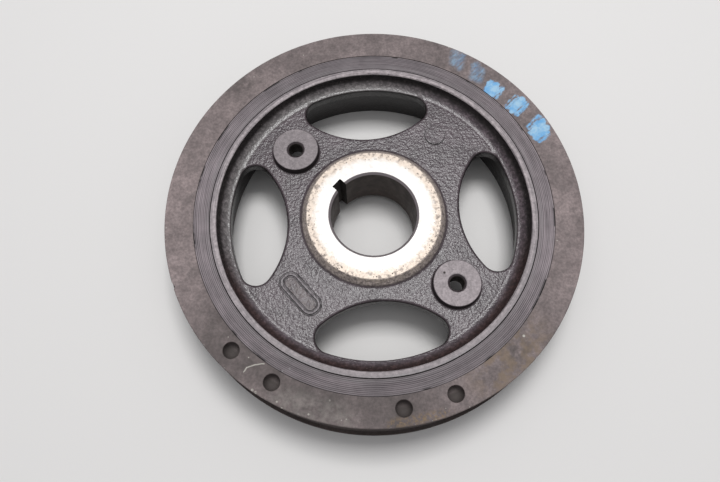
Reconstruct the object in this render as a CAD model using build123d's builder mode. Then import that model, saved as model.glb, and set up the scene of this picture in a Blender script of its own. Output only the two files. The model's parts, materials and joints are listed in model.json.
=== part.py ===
"""Harmonic balancer: a windowed cast hub, a bonded rubber ring and a grooved inertia ring.

The part lies on its rear face. The origin is on the shaft axis in the rear plane, +Z is the
shaft axis towards the front, and the four windows lie on the X and Y axes. Millimetres.
"""
import os
from math import cos, radians, sin, tan

from build123d import *

# ---- Driving dimensions -------------------------------------------------------------------

# Shaft seat
bore_radius = 15.0
bore_chamfer = 0.75
key_width = 4.0
key_depth = 2.7  # beyond the bore wall
key_angle = 135.0

# Hub boss
hub_face_drop = 2.0  # machined hub face, below the front plane
hub_rear_rise = 3.4  # rear end of the hub, above the rear plane
hub_face_wall = 8.6  # from the bore to the edge of the machined face
hub_rear_wall = 9.2  # from the bore to the edge of the rear end
hub_cone_spread = 2.0  # how much wider the boss is where it meets the web
hub_rear_draft = 4.0  # degrees
hub_edge_round = 0.5
hub_front_root = 1.2
hub_rear_root = 3.0

# Web between the boss and the rim
web_drop = 4.9  # front of the web, below the front plane
web_thickness = 4.4

# Rim of the hub casting
rim_outer_radius = 56.5
lip_width = 2.0  # machined front edge of the rim
rim_front_draft = 6.0  # degrees
rim_rear_wall = 2.9  # rim wall at its open rear end
rim_rear_draft = 1.0  # degrees
rim_edge_round = 0.4
rim_front_root = 2.3
rim_rear_root = 1.9

# Windows in the web: a lens between an arc along the rim and a bulge towards the hub
window_count = 4
window_rim_land = 3.6  # web left between the rim wall and a window
window_hub_land = 4.9  # web left between the boss and a window
window_bulge_radius = 33.0
window_end_radius = 5.4
window_edge_round = 1.0

# Tapped bosses for a puller
puller_count = 2
puller_circle_radius = 37.4
puller_angle = 135.0
puller_boss_radius = 8.1
puller_face_drop = 2.0  # boss faces, below the front plane
puller_boss_draft = 4.0  # degrees
puller_boss_root = 0.7
puller_thread_radius = 2.55  # minor radius of an M6 thread
puller_chamfer_radius = 3.4
puller_chamfer_angle = 90.0  # included

# Raised casting marks on two spokes
mark_height = 0.45
frame_length = 16.6
frame_width = 6.4
frame_corner = 2.9
frame_line = 0.7
frame_circle_radius = 37.4
frame_angle = 224.5
frame_turn = -51.0  # long side of the frame, from +X
pad_radius = 3.5
pad_circle_radius = 38.8
pad_angle = 51.0

# Rubber ring
rubber_thickness = 5.9  # radial
rubber_front_recess = 0.12
rubber_rear_recess = 0.6
rubber_edge_chamfer = 0.3

# Inertia ring, with grooves for a ribbed belt between a front land and a rear flange
ring_wall = 9.8  # from the rubber to the front land
ring_flange_step = 1.3  # flange beyond the front land
ring_front_land = 1.6
ring_rear_flange = 3.04
ring_edge_round = 0.35
groove_count = 6
groove_pitch = 3.56
groove_angle = 40.0  # included
groove_depth = 2.9
groove_floor = 0.9

# Balance drillings in the ring's front face
drill_radius = 2.75
drill_depth = 2.2  # straight part
drill_point_angle = 118.0
drill_inset = 5.65  # from the ring's front edge
drill_angles = (222.3, 236.9, 274.4, 289.2)

# Timing nick in the ring's front edge
nick_angle = 198.4
nick_depth = 0.75
nick_lead = 2.2  # length of its shallow flank
nick_heel = 0.6  # length of its steep flank
nick_overrun = 2.0  # times its depth and flanks, so that the cut clears the ring

# Edges are picked by level and place
same_place = 0.01

# ---- Levels and radii that follow ---------------------------------------------------------

front_z = ring_rear_flange + groove_count * groove_pitch + ring_front_land
hub_face_z = front_z - hub_face_drop
puller_face_z = front_z - puller_face_drop
web_front_z = front_z - web_drop
web_rear_z = web_front_z - web_thickness
web_middle_z = web_front_z - web_thickness / 2

hub_face_radius = bore_radius + hub_face_wall
hub_foot_radius = hub_face_radius + hub_cone_spread
hub_rear_radius = bore_radius + hub_rear_wall
hub_rear_foot_radius = hub_rear_radius + (web_rear_z - hub_rear_rise) * tan(radians(hub_rear_draft))

lip_inner_radius = rim_outer_radius - lip_width
rim_front_foot_radius = lip_inner_radius - web_drop * tan(radians(rim_front_draft))
rim_rear_inner_radius = rim_outer_radius - rim_rear_wall
rim_rear_foot_radius = rim_rear_inner_radius - web_rear_z * tan(radians(rim_rear_draft))

window_outer_radius = rim_front_foot_radius - window_rim_land
window_inner_radius = hub_foot_radius + window_hub_land
window_bulge_centre = window_inner_radius + window_bulge_radius

puller_boss_height = puller_face_z - web_middle_z
puller_foot_radius = puller_boss_radius + puller_boss_height * tan(radians(puller_boss_draft))

ring_inner_radius = rim_outer_radius + rubber_thickness
ring_front_radius = ring_inner_radius + ring_wall
ring_flange_radius = ring_front_radius + ring_flange_step
rubber_front_z = front_z - rubber_front_recess
groove_mouth = groove_floor + 2 * groove_depth * tan(radians(groove_angle / 2))
drill_point_height = drill_radius / tan(radians(drill_point_angle / 2))
drill_circle_radius = ring_front_radius - drill_inset
nick_clear_radius = ring_front_radius + (nick_overrun - 1) * nick_depth

# A root radius stops short of the rounded edge of a window
root_share = 0.95  # of the land between the two
rim_front_room = rim_front_foot_radius - window_outer_radius - window_edge_round
rim_rear_room = rim_rear_foot_radius - window_outer_radius - window_edge_round
hub_rear_room = window_inner_radius - window_edge_round - hub_rear_foot_radius
rim_front_root_radius = min(rim_front_root, root_share * rim_front_room)
rim_rear_root_radius = min(rim_rear_root, root_share * rim_rear_room)
hub_rear_root_radius = min(hub_rear_root, root_share * hub_rear_room)

os.makedirs("parts", exist_ok=True)


def polar_point(radius: float, angle: float) -> tuple[float, float]:
    """The X and Y of a point at a radius and an angle in degrees."""
    return radius * cos(radians(angle)), radius * sin(radians(angle))


def is_window_edge(edge: Edge) -> bool:
    """True for an edge of a window in the front or rear face of the web."""
    height = edge.center().Z
    return min(abs(height - web_front_z), abs(height - web_rear_z)) < same_place and not edge.is_closed


def is_puller_boss_root(edge: Edge) -> bool:
    """True for the circle where a puller boss meets the front of the web."""
    if edge.geom_type != GeomType.CIRCLE:
        return False
    centre = edge.arc_center
    off_axis = Vector(centre.X, centre.Y).length > same_place
    return abs(centre.Z - web_front_z) < same_place and off_axis


# ---- Hub: boss, web and rim in one casting ------------------------------------------------

hub_corners = [
    # radius, height, corner radius
    (bore_radius, hub_rear_rise + bore_chamfer, 0.0),
    (bore_radius + bore_chamfer, hub_rear_rise, 0.0),
    (hub_rear_radius, hub_rear_rise, hub_edge_round),
    (hub_rear_foot_radius, web_rear_z, hub_rear_root_radius),
    (rim_rear_foot_radius, web_rear_z, rim_rear_root_radius),
    (rim_rear_inner_radius, 0.0, rim_edge_round),
    (rim_outer_radius, 0.0, rim_edge_round),
    (rim_outer_radius, front_z, 0.0),
    (lip_inner_radius, front_z, rim_edge_round),
    (rim_front_foot_radius, web_front_z, rim_front_root_radius),
    (hub_foot_radius, web_front_z, hub_front_root),
    (hub_face_radius, hub_face_z, hub_edge_round),
    (bore_radius + bore_chamfer, hub_face_z, 0.0),
    (bore_radius, hub_face_z - bore_chamfer, 0.0),
]

with BuildPart() as hub:
    with BuildSketch(Plane.XZ):
        with BuildLine():
            FilletPolyline(
                [(radius, height) for radius, height, _ in hub_corners],
                radius=[corner for _, _, corner in hub_corners],
                close=True,
            )
        make_face()
    revolve(axis=Axis.Z)

    # Puller bosses grow out of the web with a cast draft and a root radius
    with BuildSketch(Plane.XY.offset(web_middle_z)):
        with PolarLocations(puller_circle_radius, puller_count, start_angle=puller_angle):
            Circle(puller_foot_radius)
    extrude(amount=puller_boss_height, taper=puller_boss_draft)
    fillet(hub.edges().filter_by(is_puller_boss_root), puller_boss_root)

    # Windows through the web, with cast-round edges on both faces
    with BuildSketch(Plane.XY.offset(web_rear_z)):
        with BuildSketch(mode=Mode.PRIVATE) as lens:
            Circle(window_outer_radius)
            with Locations((window_bulge_centre, 0)):
                Circle(window_bulge_radius, mode=Mode.INTERSECT)
            fillet(lens.vertices(), window_end_radius)
        with PolarLocations(0, window_count):
            add(lens.sketch)
    extrude(amount=web_thickness, mode=Mode.SUBTRACT)
    fillet(hub.edges().filter_by(is_window_edge), window_edge_round)

    # Keyway through the whole boss
    with BuildSketch(Plane.XY.offset(hub_rear_rise)):
        with Locations(Location((0, 0, 0), (0, 0, key_angle))):
            Rectangle(bore_radius + key_depth, key_width, align=(Align.MIN, Align.CENTER))
    extrude(amount=hub_face_z - hub_rear_rise, mode=Mode.SUBTRACT)

    # Tapped puller holes, through boss and web
    with Locations(Plane.XY.offset(puller_face_z)):
        with PolarLocations(puller_circle_radius, puller_count, start_angle=puller_angle):
            CounterSinkHole(
                puller_thread_radius,
                puller_chamfer_radius,
                depth=puller_face_z - web_rear_z,
                counter_sink_angle=puller_chamfer_angle,
            )

    # Raised casting marks: an empty frame on one spoke and a plain round pad on another
    with BuildSketch(Plane.XY.offset(web_middle_z)):
        frame_centre = polar_point(frame_circle_radius, frame_angle)
        with Locations(Location((*frame_centre, 0), (0, 0, frame_turn))):
            RectangleRounded(frame_length, frame_width, frame_corner)
            RectangleRounded(
                frame_length - 2 * frame_line,
                frame_width - 2 * frame_line,
                frame_corner - frame_line,
                mode=Mode.SUBTRACT,
            )
        with Locations(polar_point(pad_circle_radius, pad_angle)):
            Circle(pad_radius)
    extrude(amount=web_front_z - web_middle_z + mark_height)
hub.part.label = "hub"
export_step(hub.part, "parts/hub.step")

# ---- Rubber ring: fills the gap between the rim and the inertia ring -----------------------

with BuildPart() as rubber_ring:
    with BuildSketch(Plane.XZ):
        with BuildLine():
            Polyline(
                (rim_outer_radius, rubber_rear_recess),
                (ring_inner_radius, rubber_rear_recess),
                (ring_inner_radius, rubber_front_z - rubber_edge_chamfer),
                (ring_inner_radius - rubber_edge_chamfer, rubber_front_z),
                (rim_outer_radius + rubber_edge_chamfer, rubber_front_z),
                (rim_outer_radius, rubber_front_z - rubber_edge_chamfer),
                close=True,
            )
        make_face()
    revolve(axis=Axis.Z)
rubber_ring.part.label = "rubber_ring"
export_step(rubber_ring.part, "parts/rubber_ring.step")

# ---- Inertia ring: belt grooves, rear flange, balance drillings and timing nick ------------

with BuildPart() as inertia_ring:
    with BuildSketch(Plane.XZ):
        with BuildLine():
            FilletPolyline(
                (ring_inner_radius, 0),
                (ring_flange_radius, 0),
                (ring_flange_radius, ring_rear_flange),
                (ring_front_radius, ring_rear_flange),
                (ring_front_radius, front_z),
                (ring_inner_radius, front_z),
                radius=[0, ring_edge_round, ring_edge_round, 0, ring_edge_round, 0],
                close=True,
            )
        make_face()
        # V grooves for the ribs of the belt, one pitch apart from the rear flange up
        for groove in range(groove_count):
            middle_z = ring_rear_flange + (groove + 0.5) * groove_pitch
            with BuildLine(mode=Mode.PRIVATE) as groove_outline:
                Polyline(
                    (ring_front_radius, middle_z - groove_mouth / 2),
                    (ring_front_radius - groove_depth, middle_z - groove_floor / 2),
                    (ring_front_radius - groove_depth, middle_z + groove_floor / 2),
                    (ring_front_radius, middle_z + groove_mouth / 2),
                    close=True,
                )
            add(make_face(groove_outline.line, mode=Mode.PRIVATE), mode=Mode.SUBTRACT)
    revolve(axis=Axis.Z)

    # Blind balance drillings with a drill point at the bottom
    from_top = (Align.CENTER, Align.CENTER, Align.MAX)
    for drill_angle in drill_angles:
        x, y = polar_point(drill_circle_radius, drill_angle)
        with Locations((x, y, front_z)):
            Cylinder(drill_radius, drill_depth, align=from_top, mode=Mode.SUBTRACT)
        with Locations((x, y, front_z - drill_depth)):
            Cone(0, drill_radius, drill_point_height, align=from_top, mode=Mode.SUBTRACT)

    # Timing nick: a shallow flank and a steep one, cut through the front land
    with BuildSketch(Plane.XY.offset(front_z)):
        with Locations(Location((0, 0, 0), (0, 0, nick_angle))):
            with BuildLine(mode=Mode.PRIVATE) as nick_outline:
                Polyline(
                    (ring_front_radius - nick_depth, 0),
                    (nick_clear_radius, -nick_overrun * nick_lead),
                    (nick_clear_radius, nick_overrun * nick_heel),
                    close=True,
                )
            add(make_face(nick_outline.line, mode=Mode.PRIVATE))
    extrude(amount=-ring_front_land, mode=Mode.SUBTRACT)
inertia_ring.part.label = "inertia_ring"
export_step(inertia_ring.part, "parts/inertia_ring.step")
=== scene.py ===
"""Looks of a harmonic balancer: painted cast hub, ridged rubber ring and grooved inertia ring."""

import json
import logging
from dataclasses import dataclass, field
from enum import Enum
from functools import reduce
from math import asin, atan2, cos, hypot, pi, radians, sin, sqrt, tan

import bmesh
import bpy
from mathutils import Matrix, Vector

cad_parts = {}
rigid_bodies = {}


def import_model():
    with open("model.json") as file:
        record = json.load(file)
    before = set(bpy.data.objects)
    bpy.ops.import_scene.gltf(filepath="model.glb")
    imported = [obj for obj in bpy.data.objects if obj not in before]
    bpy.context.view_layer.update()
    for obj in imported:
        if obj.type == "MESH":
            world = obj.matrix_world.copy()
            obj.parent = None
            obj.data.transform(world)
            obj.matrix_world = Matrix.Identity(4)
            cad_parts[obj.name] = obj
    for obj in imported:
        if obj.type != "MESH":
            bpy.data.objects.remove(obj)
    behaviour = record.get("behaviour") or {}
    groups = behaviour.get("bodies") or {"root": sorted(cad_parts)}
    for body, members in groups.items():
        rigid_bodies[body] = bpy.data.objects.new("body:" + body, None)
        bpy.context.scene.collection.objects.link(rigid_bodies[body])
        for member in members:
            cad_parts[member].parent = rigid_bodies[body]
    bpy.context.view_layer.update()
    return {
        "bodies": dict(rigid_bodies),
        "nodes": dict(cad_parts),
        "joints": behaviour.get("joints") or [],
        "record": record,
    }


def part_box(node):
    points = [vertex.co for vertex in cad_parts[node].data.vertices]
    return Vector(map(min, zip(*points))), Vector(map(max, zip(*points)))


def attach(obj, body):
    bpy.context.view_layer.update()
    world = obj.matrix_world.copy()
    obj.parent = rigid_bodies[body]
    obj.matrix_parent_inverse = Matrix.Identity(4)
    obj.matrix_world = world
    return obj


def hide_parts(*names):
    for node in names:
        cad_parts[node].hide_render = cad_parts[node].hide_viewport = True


log = logging.getLogger("harmonic_balancer")

MM = 0.001
PATH_RADIUS = 1.0  # millimetres: the circle that sections are swept along
MERGE = 0.002  # millimetres: points nearer than this are one
STREAK_RADIUS = 60.0  # millimetres: where a streak has its stated length
CLOUD_RANGE = (0.30, 0.70)  # the noise levels where a cloud has 0 and 1
SPECK_CORE = 0.55  # the share of a speck's radius that is solid
CAST_SHARP = 40.0  # degrees: edges over this angle stay crisp on cast and moulded pieces
AT_FACE = (-0.25, -0.05)  # millimetres: a machined face fades in between these heights

Colour = tuple[float, float, float]
Point = tuple[float, float]
Socket = bpy.types.NodeSocket


def polar(radius: float, angle: float) -> Point:
    """The point at a radius and at an angle in degrees."""
    return radius * cos(radians(angle)), radius * sin(radians(angle))


# ---- Node graphs ---------------------------------------------------------------------------


class Graph:
    """Adds nodes to a shader or geometry tree, sets their values and links them."""

    def __init__(self, tree: bpy.types.NodeTree) -> None:
        """Args: tree: the tree that the nodes go into."""
        self.tree = tree

    def feed(self, target: Socket, value: object) -> None:
        """Links a socket to an input, or sets the input's own value.

        Args:
            target: the input socket.
            value: an output socket, a number, a vector, a colour or a data block.
        """
        if isinstance(value, bpy.types.NodeSocket):
            self.tree.links.new(value, target)
            return
        if target.type == "RGBA" and len(value) == 3:
            value = (*value, 1.0)
        target.default_value = value

    def add(self, kind: str, inputs: dict | None = None, **settings: object) -> bpy.types.Node:
        """Adds a node.

        Args:
            kind: the node's type name.
            inputs: values or sockets by input name or number.
            settings: the node's own properties.

        Returns:
            The new node.
        """
        node = self.tree.nodes.new(kind)
        for name, value in settings.items():
            setattr(node, name, value)
        for key, value in (inputs or {}).items():
            self.feed(node.inputs[key], value)
        return node

    def math(self, operation: str, *values: object) -> Socket:
        """The result of a Math node on up to three values."""
        return self.add("ShaderNodeMath", dict(enumerate(values)), operation=operation).outputs[0]

    def vector(self, operation: str, *values: object) -> Socket:
        """The result of a Vector Math node: a number for a length or a dot product."""
        node = self.add("ShaderNodeVectorMath", dict(enumerate(values)), operation=operation)
        return node.outputs["Value" if operation in ("LENGTH", "DOT_PRODUCT") else "Vector"]

    def combine(self, x: object = 0.0, y: object = 0.0, z: object = 0.0) -> Socket:
        """A vector from its three parts."""
        return self.add("ShaderNodeCombineXYZ", {0: x, 1: y, 2: z}).outputs[0]


class ShaderGraph(Graph):
    """A material's tree, with patterns in millimetres of the part's own frame."""

    def __init__(self, name: str) -> None:
        """Args: name: the material's name."""
        self.material = bpy.data.materials.new(name)
        self.material.use_nodes = True
        super().__init__(self.material.node_tree)
        self.tree.nodes.clear()
        source = self.add("ShaderNodeTexCoord").outputs
        self.place = self.vector("MULTIPLY", source["Object"], (1 / MM, 1 / MM, 1 / MM))
        parts = self.add("ShaderNodeSeparateXYZ", {0: self.place})
        self.x, self.y, self.height = parts.outputs
        self.flat = self.combine(self.x, self.y)
        self.radius = self.length(self.flat)
        self.facing = self.add("ShaderNodeSeparateXYZ", {0: source["Normal"]}).outputs[2]

    def length(self, vector: Socket) -> Socket:
        """The length of a vector."""
        return self.vector("LENGTH", vector)

    def dot(self, vector: Socket, other: object) -> Socket:
        """The dot product of two vectors."""
        return self.vector("DOT_PRODUCT", vector, other)

    def turned(self, place: Socket, angle: float) -> tuple[Socket, Socket]:
        """How far a place lies along a direction, in degrees, and to the left of it."""
        return tuple(self.dot(place, (*polar(1.0, lean), 0.0)) for lean in (angle, angle + 90))

    def away(self, centre: Point) -> Socket:
        """The distance from a point of the front face."""
        return self.length(self.vector("SUBTRACT", self.flat, (*centre, 0.0)))

    def step(self, value: Socket, start: object, end: object) -> Socket:
        """A smooth step from 0 at start to 1 at end."""
        inputs = {"Value": value, "From Min": start, "From Max": end}
        return self.add("ShaderNodeMapRange", inputs, interpolation_type="SMOOTHSTEP").outputs[0]

    def ring(self, radius: float, start: float, end: float) -> Socket:
        """A smooth step over the distance from the axis, its ends measured from a radius."""
        return self.step(self.radius, radius + start, radius + end)

    def level(self, height: float, start: float, end: float) -> Socket:
        """A smooth step over the height, its ends measured from a level."""
        return self.step(self.height, height + start, height + end)

    def both(self, *masks: object) -> Socket:
        """The product of masks, or of masks and plain shares."""
        return reduce(lambda first, second: self.math("MULTIPLY", first, second), masks)

    def either(self, *masks: Socket) -> Socket:
        """The larger of masks."""
        return reduce(lambda first, second: self.math("MAXIMUM", first, second), masks)

    def outside(self, mask: Socket) -> Socket:
        """One minus a mask."""
        return self.math("SUBTRACT", 1.0, mask)

    def between(self, value: Socket, low: float, high: float, soft: float) -> Socket:
        """1 between two levels, fading over a soft margin inside each."""
        return self.both(self.step(value, low, low + soft), self.step(value, high, high - soft))

    def noise(self, size: float, detail: float = 3.0, rough: float = 0.55, shift: float = 0.0,
              place: Socket | None = None) -> Socket:
        """Grey noise.

        Args:
            size: the size of its features, in millimetres.
            detail: the number of finer layers.
            rough: the weight of the finer layers.
            shift: an offset that gives each use a pattern of its own.
            place: the point that the noise is read at, or None for the part's frame.

        Returns:
            A value around 0.5.
        """
        point = self.place if place is None else place
        if shift:
            point = self.vector("ADD", point, (shift, shift, shift))
        inputs = {"Vector": point, "Scale": 1 / size, "Detail": detail, "Roughness": rough}
        return self.add("ShaderNodeTexNoise", inputs).outputs["Fac"]

    def cloud(self, size: float, shift: float, detail: float = 4.0) -> Socket:
        """Noise that reaches from 0 to 1, for mottling."""
        return self.step(self.noise(size, detail, 0.6, shift), *CLOUD_RANGE)

    def round_noise(self, length: float, width: float, shift: float) -> Socket:
        """Noise drawn out round the axis, for streaks and turning marks.

        Args:
            length: the length of its features round the axis, in millimetres.
            width: their width along the radius.
            shift: an offset that gives each use a pattern of its own.

        Returns:
            A value around 0.5.
        """
        outwards = self.vector("NORMALIZE", self.flat)
        around = self.vector("MULTIPLY", outwards, (STREAK_RADIUS / length,) * 3)
        across = self.combine(0.0, 0.0, self.math("DIVIDE", self.radius, width))
        return self.noise(1.0, 3.0, 0.6, shift, self.vector("ADD", around, across))

    def cells(self, size: float, shift: float) -> bpy.types.Node:
        """Voronoi cells of a size in millimetres: their distance and colour outputs."""
        point = self.vector("ADD", self.place, (shift, shift, shift))
        return self.add("ShaderNodeTexVoronoi", {"Vector": point, "Scale": 1 / size})

    def specks(self, spacing: float, size: float, share: float, shift: float = 0.0) -> Socket:
        """Round specks scattered over the surface.

        Args:
            spacing: the distance between the places where a speck may be, in millimetres.
            size: the radius of a speck, in millimetres.
            share: the share of places that have one.
            shift: an offset that gives each use a pattern of its own.

        Returns:
            A mask that is 1 on a speck.
        """
        cells = self.cells(spacing, shift)
        radius = size / spacing
        spot = self.step(cells.outputs["Distance"], radius, SPECK_CORE * radius)
        chance = self.add("ShaderNodeSeparateXYZ", {0: cells.outputs["Color"]}).outputs[0]
        return self.both(spot, self.math("LESS_THAN", chance, share))

    def mix(self, factor: object, first: object, second: object) -> Socket:
        """A blend of two colours."""
        inputs = {0: factor, 6: first, 7: second}
        return self.add("ShaderNodeMix", inputs, data_type="RGBA", clamp_factor=True).outputs[2]

    def blend(self, factor: object, first: object, second: object) -> Socket:
        """A blend of two numbers."""
        inputs = {0: factor, 2: first, 3: second}
        return self.add("ShaderNodeMix", inputs, data_type="FLOAT", clamp_factor=True).outputs[0]

    def shade(self, colour: Socket, low: object, high: object, by: Socket) -> Socket:
        """A colour multiplied by a number that goes from low to high with a mask."""
        factor = self.blend(by, low, high)
        return self.vector("MULTIPLY", colour, self.combine(factor, factor, factor))

    def spot(self, centre: Point, radius: float, soft: float) -> Socket:
        """A round mask about a point of the front face."""
        return self.step(self.away(centre), radius + soft, radius - soft)

    def ragged(self, size: float, reach: float, shift: float) -> Socket:
        """The place on the front face, pushed about by noise to make edges ragged.

        Args:
            size: the size of the noise's features, in millimetres.
            reach: how far the noise pushes, in millimetres.
            shift: a push that is the same everywhere.

        Returns:
            The pushed place.
        """
        inputs = {"Vector": self.place, "Scale": 1 / size, "Detail": 3.0}
        colour = self.add("ShaderNodeTexNoise", inputs).outputs["Color"]
        push = self.vector("MULTIPLY_ADD", colour, (reach, reach, 0.0), (shift, shift, 0.0))
        return self.vector("ADD", self.flat, push)

    def stroke(self, start: Point, end: Point, width: float, soft: float,
               place: Socket | None = None) -> Socket:
        """A straight mark with round ends on the front face.

        Args:
            start, end: the middle of each end, in millimetres.
            width: the mark's width.
            soft: the width of its fading edge.
            place: the point on the face, or None for the plain one.

        Returns:
            A mask that is 1 on the mark.
        """
        along = (end[0] - start[0], end[1] - start[1], 0.0)
        squared = along[0] ** 2 + along[1] ** 2
        offset = self.vector("SUBTRACT", self.flat if place is None else place, (*start, 0.0))
        share = self.math("DIVIDE", self.dot(offset, along), squared)
        share = self.add("ShaderNodeClamp", {"Value": share}).outputs[0]
        nearest = self.vector("MULTIPLY", self.combine(share, share, 0.0), along)
        away = self.length(self.vector("SUBTRACT", offset, nearest))
        return self.step(away, width / 2 + soft, width / 2 - soft)

    def bump(self, height: Socket, depth: float, below: Socket | None = None) -> Socket:
        """A normal bent by a height pattern.

        Args:
            height: the pattern, from 0 to 1.
            depth: how high 1 stands over 0, in millimetres.
            below: a normal that this one is added to.

        Returns:
            The bent normal.
        """
        inputs = {"Height": height, "Distance": depth * MM, "Strength": 1.0}
        if below is not None:
            inputs["Normal"] = below
        return self.add("ShaderNodeBump", inputs).outputs[0]

    def finish(self, **sockets: object) -> bpy.types.Material:
        """Ends the tree in one Principled shader.

        Args:
            sockets: the shader's inputs, with underscores for spaces.

        Returns:
            The material.
        """
        inputs = {name.replace("_", " "): value for name, value in sockets.items()}
        surface = self.add("ShaderNodeBsdfPrincipled", inputs)
        self.add("ShaderNodeOutputMaterial", {"Surface": surface.outputs[0]})
        return self.material


# ---- Finishes ------------------------------------------------------------------------------


@dataclass(frozen=True)
class Tone:
    """A colour with the roughness and the share of metal that go with it."""

    colour: Colour
    roughness: float
    metal: float = 0.0


@dataclass
class Coat:
    """The sockets that describe a surface while tones are laid over it."""

    graph: ShaderGraph
    colour: object
    roughness: object
    metal: object

    @classmethod
    def of(cls, graph: ShaderGraph, tone: Tone) -> "Coat":
        """A surface that is one tone all over."""
        return cls(graph, tone.colour, tone.roughness, tone.metal)

    def lay(self, tone: Tone, *masks: object) -> None:
        """Lays a tone over the surface where the product of masks and plain shares is 1.

        Args:
            tone: the tone.
            masks: masks and plain shares, to be multiplied.
        """
        mask = self.graph.both(*masks)
        self.colour = self.graph.mix(mask, self.colour, tone.colour)
        self.roughness = self.graph.blend(mask, self.roughness, tone.roughness)
        self.metal = self.graph.blend(mask, self.metal, tone.metal)

    def shade(self, low: float, high: float, by: Socket, where: Socket | None = None) -> None:
        """Makes the colour darker or lighter with a pattern, all over or where a mask is 1.

        Args:
            low: the factor where the pattern is 0.
            high: the factor where the pattern is 1.
            by: the pattern.
            where: the mask that it keeps to, or None.
        """
        if where is not None:
            by = self.graph.blend(where, (1 - low) / (high - low), by)
        self.colour = self.graph.shade(self.colour, low, high, by)


@dataclass(frozen=True)
class Streaks:
    """How a dab of paint thins out in streaks."""

    level: float  # of the streaks, under which the paint is gone
    cover: float  # how much the paint that is left covers
    spread: float  # half the range of levels over which it thins out
    softness: float  # how far the dab's edge fades, in millimetres


class Wear(Enum):
    """How much of a paint mark is left."""

    FRESH = Streaks(0.30, 0.95, 0.10, 0.35)
    WORN = Streaks(0.46, 0.90, 0.10, 0.35)
    FADED = Streaks(0.50, 0.46, 0.30, 1.10)


@dataclass(frozen=True)
class PaintMark:
    """A dab of marking paint on the ring's front face."""

    angle: float  # degrees
    radius: float  # of its middle
    length: float
    turn: float  # degrees, from the radial direction
    width: float
    wear: Wear

    def ends(self) -> tuple[Point, Point]:
        """The two ends of its middle line.

        Returns:
            Two points, in millimetres.
        """
        x, y = polar(self.radius, self.angle)
        dx, dy = polar(self.length / 2, self.angle + self.turn)
        return (x - dx, y - dy), (x + dx, y + dy)


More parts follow.
